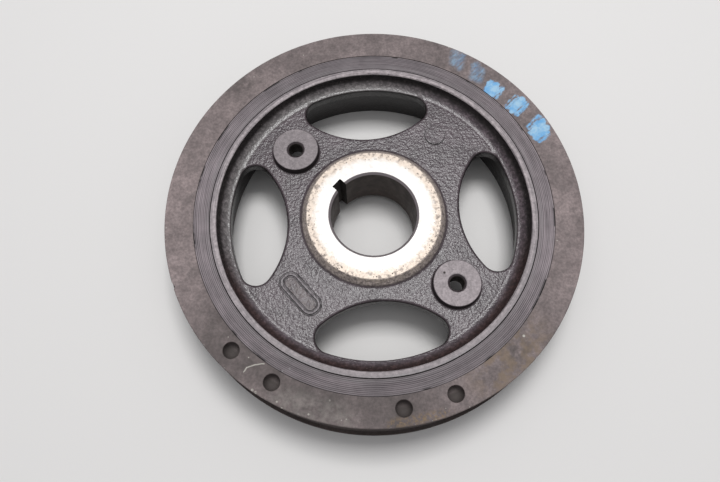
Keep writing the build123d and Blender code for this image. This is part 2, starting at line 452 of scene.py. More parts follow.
@dataclass(frozen=True)
class HubFinish:
    """Black paint over cast grain, with machined faces, dirt and dust."""

    paint: Tone = Tone((0.020, 0.017, 0.017), 0.36)
    # dust, and painted light on faces that look up
    dusty_paint_and_top_light: Tone = Tone((0.070, 0.053, 0.061), 0.28)
    worn_paint: Tone = Tone((0.112, 0.092, 0.102), 0.33)
    # painted highlight in the rim's root at the upper left
    upper_left_highlight: Tone = Tone((0.135, 0.125, 0.124), 0.28)
    # dark specks, and painted shade beside the raised frame and pad
    seam: Tone = Tone((0.008, 0.007, 0.007), 0.60)
    # oily dirt, and painted shade on the rim root's low side
    oily_dirt_and_shade: Tone = Tone((0.041, 0.023, 0.022), 0.50)
    gritty_dirt: Tone = Tone((0.370, 0.315, 0.292), 0.65)
    bright_steel: Tone = Tone((0.495, 0.485, 0.470), 0.48, 0.65)
    stained_steel: Tone = Tone((0.565, 0.485, 0.415), 0.52, 0.45)
    brown_dirt: Tone = Tone((0.165, 0.132, 0.118), 0.62)
    # dark pits, and painted shade in the threaded holes, the keyway and the bore
    pits_and_hole_shade: Tone = Tone((0.030, 0.024, 0.020), 0.80)
    # painted shade on the bore's wall, with a reddish painted reflection
    bore_shade_and_reflection: Tone = Tone((0.060, 0.042, 0.035), 0.50, 0.70)
    satin_steel: Tone = Tone((0.222, 0.195, 0.203), 0.58, 0.30)
    lip_steel: Tone = Tone((0.345, 0.305, 0.315), 0.60, 0.10)
    grain_depth: float = 0.38  # millimetres
    coarse_grain: float = 1.40
    fine_grain: float = 0.70
    index_of_paint: float = 1.50
    boss_pit: Point = (22.4, -22.6)

    def material(self, hub: "Hub") -> bpy.types.Material:
        """Builds the material for the hub's shape.

        Args:
            hub: the hub, for the places of its faces.

        Returns:
            The material.
        """
        g = ShaderGraph("cast_iron_finish")
        grain = g.blend(0.45, g.noise(self.coarse_grain, 2.0, 0.5, 3.0),
                        g.noise(self.fine_grain, 2.0, 0.6, 11.0))
        coat = Coat.of(g, self.paint)
        self._paint(g, coat, hub, grain)
        self._rim(g, coat, hub, grain)
        self._marks(g, coat, hub)
        machined = g.either(self._face(g, coat, hub), self._bosses(g, coat, hub),
                            self._lip(g, coat, hub))
        self._bore(g, coat, hub)
        cast = g.both(g.outside(machined), g.ring(hub.bore_radius, 0.8, 1.0))
        rough = g.blend(g.noise(0.9, 4.0, 0.7, 51.0), -0.10, 0.10)
        filled = g.either(g.both(self._root(g, hub), 0.35), g.both(self._beside_frame(g, hub), 0.8))
        cast_normal = g.bump(g.both(grain, cast, g.outside(filled)), self.grain_depth)
        turned = g.add("ShaderNodeTexWave", {"Vector": g.combine(g.radius), "Scale": 0.55})
        turned_normal = g.bump(g.both(turned.outputs["Fac"], machined), 0.004, cast_normal)
        fine = g.bump(g.both(g.noise(0.4, 3.0, 0.6, 61.0), machined), 0.02, turned_normal)
        return g.finish(Base_Color=coat.colour, Metallic=coat.metal, IOR=self.index_of_paint,
                        Roughness=g.math("ADD", coat.roughness, rough), Normal=fine)

    def _paint(self, g: ShaderGraph, coat: Coat, hub: "Hub", grain: Socket) -> None:
        """Lays dust and painted light on what faces up, leaving the walls darker as painted shade;
        worn paint on the grain's peaks and dirt round the hub.

        Args:
            g: the finish's graph.
            coat: the surface so far.
            hub: the hub, for the places of its faces.
            grain: the height of the cast grain.
        """
        # dust on faces that look up, which also stands for painted light; the walls keep the darker
        # paint as painted shade
        upward_dust_and_light = g.step(g.facing, 0.50, 0.92)
        coat.lay(self.dusty_paint_and_top_light, upward_dust_and_light)
        coat.lay(self.worn_paint, upward_dust_and_light, g.step(grain, 0.52, 0.66), g.cloud(14.0, 5.0))
        coat.shade(0.76, 1.24, g.cloud(8.0, 21.0))
        coat.shade(1.0, 0.84, g.ring(hub.foot_radius, 11.0, 1.0))
        near_hub = g.ring(hub.foot_radius, 1.4, -0.6)
        taper = g.both(near_hub, g.level(hub.web_z, 0.1, 0.9))
        coat.lay(self.gritty_dirt, taper, g.blend(g.cloud(1.6, 17.0), 0.55, 1.0))
        coat.lay(self.pits_and_hole_shade, taper, g.specks(0.8, 0.22, 0.50, 19.0), 0.80)
        coat.shade(0.62, 1.38, g.step(g.noise(0.7, 4.0, 0.65, 85.0), 0.40, 0.60), taper)
        coat.lay(self.stained_steel, near_hub, g.level(hub.face_z, -2.4, -0.2),
                 g.step(g.noise(1.5, 4.0, 0.70, 87.0), 0.46, 0.58), 0.80)

    def _rim(self, g: ShaderGraph, coat: Coat, hub: "Hub", grain: Socket) -> None:
        """Lays a painted highlight in the rim's root at the upper left, oily dirt and painted shade
        on its low side and grit on its wall.

        Args:
            g: the finish's graph.
            coat: the surface so far.
            hub: the hub, for the places of its faces.
            grain: the height of the cast grain.
        """
        # painted highlight: lighter paint on the upward part of the rim's root, at the upper left
        # only
        upper_left = g.step(g.dot(g.flat, (-0.7, 0.7, 0.0)), 0.0, 40.0)
        coat.lay(self.upper_left_highlight, self._root(g, hub), upper_left,
                 g.step(g.facing, 0.50, 0.86), 0.85)
        # darker and browner on the rim root's low side: oily dirt and painted shade
        coat.lay(self.oily_dirt_and_shade, g.ring(hub.lip_radius, -3.2, -1.6), g.step(g.y, -6.0, -26.0),
                 g.blend(g.cloud(1.8, 67.0), 0.60, 1.0))
        wall = g.both(g.ring(hub.lip_radius, -3.4, -2.4), g.level(hub.web_z, 0.0, 0.5))
        coat.shade(0.70, 1.45, g.step(grain, 0.42, 0.62), wall)
        coat.lay(self.seam, wall, g.specks(0.9, 0.20, 0.40, 23.0), 0.75)
        coat.lay(self.gritty_dirt, wall, g.specks(1.1, 0.16, 0.30, 29.0), 0.45)

    def _marks(self, g: ShaderGraph, coat: Coat, hub: "Hub") -> None:
        """Lays painted shade beside the raised frame and round the pad, brown dirt inside the
        frame, and worn paint on the frame's line.

        Args:
            g: the finish's graph.
            coat: the surface so far.
            hub: the hub, for the places of its faces.
        """
        line = hub.from_frame_line(g)
        # painted shade along both sides of the frame's raised line
        coat.lay(self.seam, self._beside_frame(g, hub), g.blend(g.cloud(1.7, 77.0), 0.25, 0.95))
        coat.lay(self.brown_dirt, g.step(line, -1.1, -1.6), g.blend(g.cloud(1.3, 91.0), 0.0, 0.42))
        coat.lay(self.worn_paint, g.between(line, -0.65, -0.05, 0.15), 0.6)
        # painted shade round the foot of the raised pad
        coat.lay(self.seam, g.between(hub.from_pad_edge(g), -0.05, 0.45, 0.15), 0.65)

    def _root(self, g: ShaderGraph, hub: "Hub") -> Socket:
        """1 in the rounded root of the rim, where the paint has pooled smooth and the painted
        highlight lies.
        """
        return g.between(g.radius, hub.lip_radius - 5.0, hub.lip_radius, 1.2)

    def _beside_frame(self, g: ShaderGraph, hub: "Hub") -> Socket:
        """1 along both sides of the frame mark's raised line."""
        line = hub.from_frame_line(g)
        return g.either(g.between(line, -0.05, 0.75, 0.25), g.between(line, -1.40, -0.65, 0.25))

    def _face(self, g: ShaderGraph, coat: Coat, hub: "Hub") -> Socket:
        """Lays the bright hub face, stained and pitted towards its ragged edge.

        Args:
            g: the graph.
            coat: the surface.
            hub: the hub, for the size of its face.

        Returns:
            The mask of the face.
        """
        ragged = g.math("ADD", g.radius, g.blend(g.noise(1.7, 5.0, 0.72, 7.0), -2.6, 2.6))
        face = g.both(g.step(g.facing, 0.93, 0.985), g.ring(hub.face_radius, 0.9, 0.5),
                      g.level(hub.face_z, *AT_FACE))
        stained = g.both(face, g.step(ragged, hub.face_radius + 0.9, hub.face_radius - 0.3))
        coat.lay(self.stained_steel, stained)
        coat.lay(self.brown_dirt, stained, g.step(g.noise(1.7, 5.0, 0.68, 27.0), 0.48, 0.62),
                 g.ring(hub.face_radius, -4.0, 0.0), 0.75)
        clean = g.step(ragged, hub.face_radius - 1.5, hub.face_radius - 4.1)
        blot = g.step(g.noise(3.2, 4.0, 0.6, 31.0), 0.56, 0.72)
        coat.lay(self.bright_steel, face, clean, g.outside(g.both(blot, 0.40)))
        pits = g.either(g.specks(1.3, 0.30, 0.30, 2.0), g.specks(0.8, 0.20, 0.34, 9.0))
        coat.lay(self.pits_and_hole_shade, face, pits, g.ring(hub.face_radius, -4.4, -0.8))
        return face

    def _bosses(self, g: ShaderGraph, coat: Coat, hub: "Hub") -> Socket:
        """Lays the satin faces of the puller bosses, the right one lighter as painted light, the
        threads near black as painted shade, and one pit.

        Args:
            g: the finish's graph.
            coat: the surface so far.
            hub: the hub, for the places of its faces.

        Returns:
            The mask of both faces.
        """
        from_puller = hub.from_puller(g)
        near = g.step(from_puller, hub.puller_radius + 0.1, hub.puller_radius - 0.25)
        face = g.both(near, g.level(hub.face_z, *AT_FACE))
        coat.lay(self.satin_steel, face)
        coat.shade(0.80, 1.12, g.cloud(1.4, 37.0), face)
        coat.shade(0.86, 1.14, g.cloud(0.7, 39.0), face)
        coat.lay(self.paint, face, g.specks(1.0, 0.22, 0.25, 33.0), 0.45)
        coat.shade(1.0, 0.88, g.step(g.noise(0.5, 3.0, 0.6, 43.0), 0.42, 0.62), face)
        # painted light: the right boss's face lighter than the left one's
        coat.shade(1.0, 1.24, g.step(g.x, -10.0, 20.0), face)
        # painted shade: the threaded holes' walls near black
        coat.lay(self.pits_and_hole_shade, g.step(from_puller, hub.thread_radius + 0.2, hub.thread_radius))
        coat.lay(self.pits_and_hole_shade, face, g.spot(self.boss_pit, 0.40, 0.16))
        return face

    def _lip(self, g: ShaderGraph, coat: Coat, hub: "Hub") -> Socket:
        """Lays the rim's front lip: bare and mottled, with a darker outer half and a darker low
        side, both painted shade.

        Args:
            g: the finish's graph.
            coat: the surface so far.
            hub: the hub, for the places of its faces.

        Returns:
            The mask of the lip.
        """
        lip = g.both(g.ring(hub.lip_radius, -0.5, -0.1), g.level(hub.front_z, -0.45, -0.25))
        coat.lay(self.lip_steel, lip)
        coat.lay(self.worn_paint, lip, g.step(g.round_noise(13.0, 0.45, 41.0), 0.50, 0.60), 0.70)
        coat.shade(0.78, 1.26, g.cloud(1.3, 49.0), lip)
        # painted shade: the outer half darker, standing in for the shading of the lip's rounded
        # profile
        coat.lay(self.worn_paint, lip, g.ring(hub.lip_radius, 1.10, 1.45),
                 g.blend(g.cloud(12.0, 47.0), 0.15, 0.85))
        coat.lay(self.worn_paint, lip, g.step(g.noise(0.9, 4.0, 0.7, 41.0), 0.52, 0.66), 0.55)
        # painted shade: the lip darker towards the bottom
        coat.shade(1.0, 0.82, g.step(g.y, 0.0, -50.0), lip)
        return lip

    def _bore(self, g: ShaderGraph, coat: Coat, hub: "Hub") -> None:
        """Lays the bore's light chamfer, its wall dark brown as painted shade and reflection, and
        the keyway black as painted shade.

        Args:
            g: the finish's graph.
            coat: the surface so far.
            hub: the hub, for the places of its faces.
        """
        chamfer = g.both(g.ring(hub.bore_radius, 0.95, 0.80), g.level(hub.web_z, 0.0, 0.1))
        coat.lay(self.satin_steel, chamfer)
        # painted shade: the bore's wall dark brown, with a reddish painted reflection, and darker
        # in clouds
        wall = g.ring(hub.bore_radius, 0.08, 0.02)
        coat.lay(self.bore_shade_and_reflection, wall)
        coat.lay(self.pits_and_hole_shade, wall, g.cloud(3.0, 57.0), 0.5)
        # painted shade: the keyway near black
        coat.lay(self.pits_and_hole_shade, hub.keyway_mask(g))


@dataclass(frozen=True)
class RubberFinish:
    """Matte grey rubber, dusty on its ridges, with grime and painted shade in its furrows and dark
    joints that are partly painted shade.
    """

    rubber: Tone = Tone((0.186, 0.158, 0.169), 0.66)
    dust: Tone = Tone((0.250, 0.232, 0.238), 0.90)
    # dark joints, partly painted shade in the gaps
    joint: Tone = Tone((0.010, 0.009, 0.009), 0.85)
    # grime and painted shade in the furrows
    furrow_grime_and_shade: Tone = Tone((0.040, 0.034, 0.037), 0.80)
    flecks: tuple[Point, ...] = ((-30.5, -51.8), (-32.8, -52.4))

    def material(self, rubber: "RubberRing") -> bpy.types.Material:
        """Builds the material for the rubber's shape.

        Args:
            rubber: the ring, for the place of its joints and ridges.

        Returns:
            The material.
        """
        g = ShaderGraph("rubber_finish")
        coat = Coat.of(g, self.rubber)
        # painted light: the rubber lighter towards the left and right
        coat.shade(0.84, 1.26, g.step(g.math("ABSOLUTE", g.x), 26.0, 60.0))
        coat.shade(0.84, 1.16, g.cloud(9.0, 4.0))
        coat.shade(0.80, 1.20, g.step(g.round_noise(16.0, 0.40, 14.0), 0.36, 0.64))
        coat.lay(self.dust, g.cloud(4.0, 24.0), 0.22)
        inner_band = g.between(g.radius, rubber.inner_radius + 0.4, rubber.inner_radius + 1.9, 0.4)
        coat.lay(self.dust, inner_band, g.blend(g.cloud(7.0, 64.0), 0.05, 0.55))
        # grime and painted shade in the furrows between the ridges, deeper in streaks
        depth = g.blend(g.step(g.round_noise(22.0, 1.0, 44.0), 0.38, 0.62), 0.15, 1.0)
        coat.lay(self.furrow_grime_and_shade, rubber.furrow_mask(g), depth)
        coat.lay(self.dust, g.specks(1.6, 0.20, 0.10, 6.0))
        for fleck in self.flecks:
            coat.lay(self.dust, g.spot(fleck, 0.30, 0.10))
        # near-black joint lines, partly painted shade in the gaps beside the rubber
        coat.lay(self.joint, rubber.inner_joint_mask(g))
        coat.lay(self.joint, rubber.outer_joint_mask(g), g.blend(g.cloud(6.0, 54.0), 0.30, 0.90))
        # the outer joint's dark line, partly painted shade, widened in patches
        patchy = g.step(g.round_noise(10.0, 8.0, 74.0), 0.53, 0.60)
        coat.lay(self.joint, g.ring(rubber.outer_radius, -0.62, -0.40), patchy, 0.9)
        grain = g.bump(g.noise(0.45, 3.0, 0.6, 34.0), 0.05)
        return g.finish(Base_Color=coat.colour, Metallic=0.0, Roughness=coat.roughness,
                        Normal=grain)


@dataclass(frozen=True)
class RingFinish:
    """Dull dark iron with mottling, dust, a scratch and dabs of marking paint."""

    iron: Tone = Tone((0.156, 0.125, 0.123), 0.64, 0.10)
    brown: Tone = Tone((0.205, 0.152, 0.108), 0.85)
    # soot, and painted shade in the drillings
    soot_and_shade: Tone = Tone((0.062, 0.053, 0.050), 0.80)
    white_dust: Tone = Tone((0.46, 0.44, 0.40), 0.95)
    ochre_dust: Tone = Tone((0.25, 0.175, 0.10), 0.95)
    bare_metal: Tone = Tone((0.55, 0.53, 0.50), 0.40, 0.6)
    # dirt and painted shade on the grooved side
    groove_dirt_and_shade: Tone = Tone((0.040, 0.030, 0.026), 0.90)
    blue_paint: Tone = Tone((0.105, 0.36, 0.68), 0.55)
    pale_paint: Tone = Tone((0.42, 0.60, 0.70), 0.65)
    scratch: tuple[Point, ...] = ((-45.2, -52.0), (-44.2, -50.6), (-41.8, -49.9), (-38.6, -49.7))
    chips: tuple[Point, ...] = ((-42.5, -57.8), (-41.5, -58.6))
    brown_patch: Point = (41.0, -53.0)
    white_fleck: Point = (45.7, -45.9)
    # a broad darker band low on the front face
    dark_lower_band: tuple[Point, Point] = ((-52.0, -42.0), (4.0, -68.0))
    ochre_line: tuple[Point, Point] = ((1.0, -71.0), (19.0, -68.6))
    dusty_line: tuple[Point, Point] = ((-33.0, -61.5), (-15.0, -68.0))
    smudges: tuple[Point, ...] = ((-47.0, 51.5), (-43.5, 54.0), (41.0, -52.0), (44.5, -49.5))
    marks: tuple[PaintMark, ...] = (
        PaintMark(60.3, 68.4, 4.4, 16.0, 2.4, Wear.FADED),
        PaintMark(57.9, 68.2, 5.0, 16.0, 2.6, Wear.FADED),
        PaintMark(52.4, 67.2, 5.0, 20.0, 2.6, Wear.FADED),
        PaintMark(50.2, 67.0, 4.2, 20.0, 2.2, Wear.FADED),
        PaintMark(45.6, 64.9, 3.6, 14.0, 2.3, Wear.FRESH),
        PaintMark(43.7, 65.1, 4.6, 14.0, 2.4, Wear.FRESH),
        PaintMark(41.9, 65.6, 4.0, 14.0, 2.2, Wear.WORN),
        PaintMark(36.6, 66.4, 5.0, 10.0, 2.2, Wear.WORN),
        PaintMark(34.8, 66.8, 6.0, 10.0, 2.4, Wear.FRESH),
        PaintMark(33.0, 67.0, 5.2, 10.0, 2.2, Wear.WORN),
        PaintMark(27.2, 67.6, 5.2, 18.0, 2.3, Wear.WORN),
        PaintMark(25.2, 67.4, 6.2, 18.0, 2.5, Wear.FRESH),
        PaintMark(23.2, 67.4, 5.8, 18.0, 2.5, Wear.FRESH),
        PaintMark(21.5, 67.2, 4.2, 18.0, 2.0, Wear.WORN),
    )

    def material(self, ring: "InertiaRing") -> bpy.types.Material:
        """Builds the material for the ring's shape.

        Args:
            ring: the ring, for the place of its front face and edges.

        Returns:
            The material.
        """
        g = ShaderGraph("ring_iron_finish")
        front = g.level(ring.front_z, -0.5, -0.1)
        coat = Coat.of(g, self.iron)
        coat.shade(0.80, 1.20, g.cloud(15.0, 8.0))
        # painted light: the ring lighter towards the left and right
        coat.shade(1.0, 1.24, g.step(g.math("ABSOLUTE", g.x), 52.0, 70.0))
        coat.shade(0.82, 1.20, g.cloud(3.2, 28.0))
        coat.shade(0.80, 1.22, g.cloud(0.9, 18.0))
        self._stain(g, coat, front)
        self._wear(g, coat, front, ring)
        self._paint(g, coat, front)
        # dirt and painted shade: the grooved side darker than the front face
        coat.lay(self.groove_dirt_and_shade, g.ring(ring.inner_radius, 3.0, 4.0), g.outside(front), 0.75)
        # painted shade: the drillings darker with depth
        coat.lay(self.soot_and_shade, ring.drilled_mask(g), g.level(ring.front_z, 0.0, -2.5), 0.7)
        grain = g.blend(0.5, g.noise(0.9, 4.0, 0.65, 28.0), g.noise(0.35, 3.0, 0.6, 38.0))
        rough = g.blend(g.noise(2.5, 4.0, 0.7, 48.0), -0.12, 0.12)
        return g.finish(Base_Color=coat.colour, Metallic=coat.metal,
                        Roughness=g.math("ADD", coat.roughness, rough), Normal=g.bump(grain, 0.12))

    def _stain(self, g: ShaderGraph, coat: Coat, front: Socket) -> None:
        """Lays the brown, sooty and ochre patches, and a broad darker band low on the front face.

        Args:
            g: the finish's graph.
            coat: the surface so far.
            front: the mask of the front face.
        """
        coat.lay(self.brown, front, g.spot(self.brown_patch, 13.0, 8.0),
                 g.step(g.noise(5.0, 4.0, 0.6, 58.0), 0.42, 0.60), 0.75)
        for smudge in self.smudges:
            coat.lay(self.soot_and_shade, front, g.spot(smudge, 3.5, 3.0), g.cloud(2.4, 53.0), 0.55)
        # a broad darker band over the lower left and the bottom of the front face
        coat.lay(self.soot_and_shade, front, g.stroke(*self.dark_lower_band, 22.0, 9.0),
                 g.blend(g.cloud(6.0, 63.0), 0.25, 0.70))
        coat.lay(self.ochre_dust, front, g.stroke(*self.ochre_line, 2.2, 1.6),
                 g.step(g.noise(1.2, 4.0, 0.7, 68.0), 0.46, 0.60), 0.8)

    def _wear(self, g: ShaderGraph, coat: Coat, front: Socket, ring: "InertiaRing") -> None:
        """Lays the dust specks, the scratch and the bare outer edge.

        Args:
            g: the finish's graph.
            coat: the surface so far.
            front: the mask of the front face.
            ring: the ring, for its front radius.
        """
        dusty = g.stroke(*self.dusty_line, 8.0, 2.5)
        coat.lay(self.white_dust, front, dusty, g.specks(1.7, 0.40, 0.36, 3.0), 0.75)
        coat.lay(self.white_dust, front, dusty, g.cloud(2.0, 73.0), 0.20)
        coat.lay(self.white_dust, front, g.specks(3.1, 0.26, 0.20, 13.0), 0.8)
        place = g.ragged(1.5, 0.5, -0.25)
        for start, end in zip(self.scratch, self.scratch[1:]):
            coat.lay(self.white_dust, front, g.stroke(start, end, 0.30, 0.16, place))
        coat.lay(self.white_dust, front, g.spot(self.white_fleck, 0.42, 0.12))
        for chip in self.chips:
            coat.lay(self.white_dust, g.spot(chip, 0.45, 0.15), g.cloud(0.8, 83.0))
        chipped = g.step(g.noise(1.4, 4.0, 0.7, 78.0), 0.60, 0.70)
        coat.lay(self.bare_metal, front, g.ring(ring.front_radius, -0.75, -0.25), chipped, 0.8)

    def _paint(self, g: ShaderGraph, coat: Coat, front: Socket) -> None:
        """Lays the dabs of marking paint, streaky where they are worn.

        Args:
            g: the finish's graph.
            coat: the surface so far.
            front: the mask of the front face.
        """
        along = g.math("MULTIPLY", g.dot(g.flat, (0.77, 0.64, 0.0)), 0.3)
        brushed = g.combine(along, g.dot(g.flat, (-0.64, 0.77, 0.0)), 0.0)
        streaks = g.noise(0.9, 4.0, 0.68, 88.0, brushed)
        tint = g.both(g.cloud(2.6, 98.0), 0.75)
        place = g.ragged(1.6, 1.6, -0.8)
        for mark in self.marks:
            wear = mark.wear.value
            dab = g.stroke(*mark.ends(), mark.width, wear.softness, place)
            left = g.step(streaks, wear.level - wear.spread, wear.level + wear.spread)
            cover = g.both(front, dab, left, wear.cover)
            coat.lay(self.blue_paint, cover)
            coat.lay(self.pale_paint, cover, tint)


# ---- Shapes by rule ------------------------------------------------------------------------


class GeometryRule(Graph):
    """A geometry tree with named inputs, run once to make a plain mesh."""

    def __init__(self, name: str) -> None:
        """Args: name: the tree's name."""
        self.group = bpy.data.node_groups.new(name, "GeometryNodeTree")
        super().__init__(self.group)
        self.values: dict[str, object] = {}
        for way in ("OUTPUT", "INPUT"):
            self.group.interface.new_socket("Geometry", in_out=way,
                                            socket_type="NodeSocketGeometry")
        self.source = self.add("NodeGroupInput")

    def given(self, name: str, value: float | int | bpy.types.Material) -> Socket:
        """Adds a named input.

        Args:
            name: the input's name.
            value: the value that the modifier gives it.

        Returns:
            The socket that carries it inside the tree.
        """
        kinds = {int: "NodeSocketInt", float: "NodeSocketFloat"}
        kind = kinds.get(type(value), "NodeSocketMaterial")
        made = self.group.interface.new_socket(name, in_out="INPUT", socket_type=kind)
        self.values[made.identifier] = value
        return self.source.outputs[name]

    def fields(self, owner: object, *names: str) -> list[Socket]:
        """Adds an input for each named field of a piece, and returns their sockets."""
        return [self.given(name.replace("_", " ").title(), getattr(owner, name)) for name in names]

    def place(self, radius: object, height: object) -> Socket:
        """A section's point, as metres, from its radius and height in millimetres."""
        across = self.math("MULTIPLY", self.math("SUBTRACT", radius, PATH_RADIUS), MM)
        return self.combine(across, self.math("MULTIPLY", height, -MM), 0.0)

    def polyline(self, count: object, radius: object, height: object) -> Socket:
        """An open section whose points follow from their index.

        Args:
            count: the number of points.
            radius, height: where each point lies, in millimetres.

        Returns:
            The section as a curve.
        """
        line = self.add("GeometryNodeMeshLine", {"Count": count}).outputs[0]
        moved = self.add("GeometryNodeSetPosition",
                         {"Geometry": line, "Position": self.place(radius, height)})
        return self.add("GeometryNodeMeshToCurve", {0: moved.outputs[0]}).outputs[0]

    def corners(self, *points: tuple[object, object]) -> Socket:
        """An open section through a few points, each a radius and a height in millimetres."""
        index = self.add("GeometryNodeInputIndex").outputs[0]
        return self.polyline(len(points), *[self.choose(index, *part) for part in zip(*points)])

    def choose(self, index: Socket, *values: object) -> Socket:
        """The value at an index.

        Args:
            index: the index.
            values: the values, in order.

        Returns:
            The value.
        """
        node = self.add("GeometryNodeIndexSwitch", data_type="FLOAT")
        while len(node.index_switch_items) < len(values):
            node.index_switch_items.new()
        self.feed(node.inputs["Index"], index)
        for number, value in enumerate(values):
            self.feed(node.inputs[1 + number], value)
        return node.outputs[0]

    def rounded(self, section: Socket, radius: object, steps: int) -> Socket:
        """A section with its corners rounded, the radius in millimetres."""
        inputs = {"Curve": section, "Count": steps, "Radius": self.math("MULTIPLY", radius, MM)}
        return self.add("GeometryNodeFilletCurve", inputs, mode="POLY").outputs[0]

    def join(self, *parts: Socket) -> Socket:
        """Several geometries as one.

        Args:
            parts: the geometries, in order.

        Returns:
            The joined geometry.
        """
        node = self.add("GeometryNodeJoinGeometry")
        for part in reversed(parts):
            self.tree.links.new(part, node.inputs[0])
        return node.outputs[0]

    def sweep(self, section: Socket, segments: object) -> Socket:
        """Turns sections about the axis and joins them where they meet.

        Args:
            section: the sections, as place() puts their points.
            segments: the number of steps round the circle.

        Returns:
            The turned surface as a mesh.
        """
        circle = self.add("GeometryNodeCurvePrimitiveCircle",
                          {"Resolution": segments, "Radius": PATH_RADIUS * MM}).outputs["Curve"]
        upright = self.add("GeometryNodeSetCurveNormal", {"Curve": circle}, mode="Z_UP")
        mesh = self.add("GeometryNodeCurveToMesh",
                        {"Curve": upright.outputs[0], "Profile Curve": section})
        return self.add("GeometryNodeMergeByDistance",
                        {"Geometry": mesh.outputs[0], "Distance": MERGE * MM}).outputs[0]

    def finish(self, mesh: Socket, finish: Socket) -> None:
        """Ends the tree in Realize Instances and Set Material.

        Args:
            mesh: the geometry so far.
            finish: the input that carries the material.
        """
        real = self.add("GeometryNodeRealizeInstances", {0: mesh}).outputs[0]
        dressed = self.add("GeometryNodeSetMaterial", {"Geometry": real, "Material": finish})
        self.add("NodeGroupOutput", {0: dressed.outputs[0]})

    def run(self, name: str) -> bpy.types.Mesh:
        """Runs the tree and gives back what it makes.

        Args:
            name: the name of the new mesh.

        Returns:
            A plain mesh with its faces turned outwards.
        """
        base = piece(name, bpy.data.meshes.new(name))
        modifier = base.modifiers.new(name, "NODES")
        modifier.node_group = self.group
        for identifier, value in self.values.items():
            modifier[identifier] = value
        mesh = applied(base)
        shape = bmesh.new()
        shape.from_mesh(mesh)
        return closed(shape, mesh)


def closed(shape: bmesh.types.BMesh, mesh: bpy.types.Mesh) -> bpy.types.Mesh:
    """Turns the faces of a closed shape outwards and moves it into a mesh.

    Args:
        shape: the shape, which is freed.
        mesh: the mesh that takes it.

    Returns:
        The same mesh.
    """
    bmesh.ops.recalc_face_normals(shape, faces=shape.faces)
    shape.to_mesh(mesh)
    shape.free()
    return mesh


def piece(name: str, mesh: bpy.types.Mesh) -> bpy.types.Object:
    """An object at the origin that shows a mesh.

    Args:
        name: the object's name.
        mesh: the mesh.

    Returns:
        The object.
    """
    made = bpy.data.objects.new(name, mesh)
    bpy.context.scene.collection.objects.link(made)
    return made


def applied(shape: bpy.types.Object) -> bpy.types.Mesh:
    """The mesh of an object with its modifiers applied.

    Args:
        shape: the object, which is removed.

    Returns:
        A plain mesh of the same name.
    """
    graph = bpy.context.evaluated_depsgraph_get()
    mesh = bpy.data.meshes.new_from_object(shape.evaluated_get(graph), depsgraph=graph)
    mesh.name = shape.name
    bpy.data.objects.remove(shape)
    return mesh


def smoothed(name: str, mesh: bpy.types.Mesh, sharp_angle: float = 32.0) -> bpy.types.Object:
    """Shades a mesh smooth with crisp edges and flat faces that stay flat.

    Args:
        name: the name of the piece.
        mesh: its mesh.
        sharp_angle: edges over this angle stay crisp, in degrees.

    Returns:
        The piece, with plain normals in its mesh.
    """
    mesh.shade_smooth()
    mesh.set_sharp_from_angle(angle=radians(sharp_angle))
    shape = piece(name, mesh)
    weighted = shape.modifiers.new("weighted", "WEIGHTED_NORMAL")
    weighted.mode = "FACE_AREA"
    weighted.keep_sharp = True
    return piece(name, applied(shape))


# ---- The pieces ----------------------------------------------------------------------------


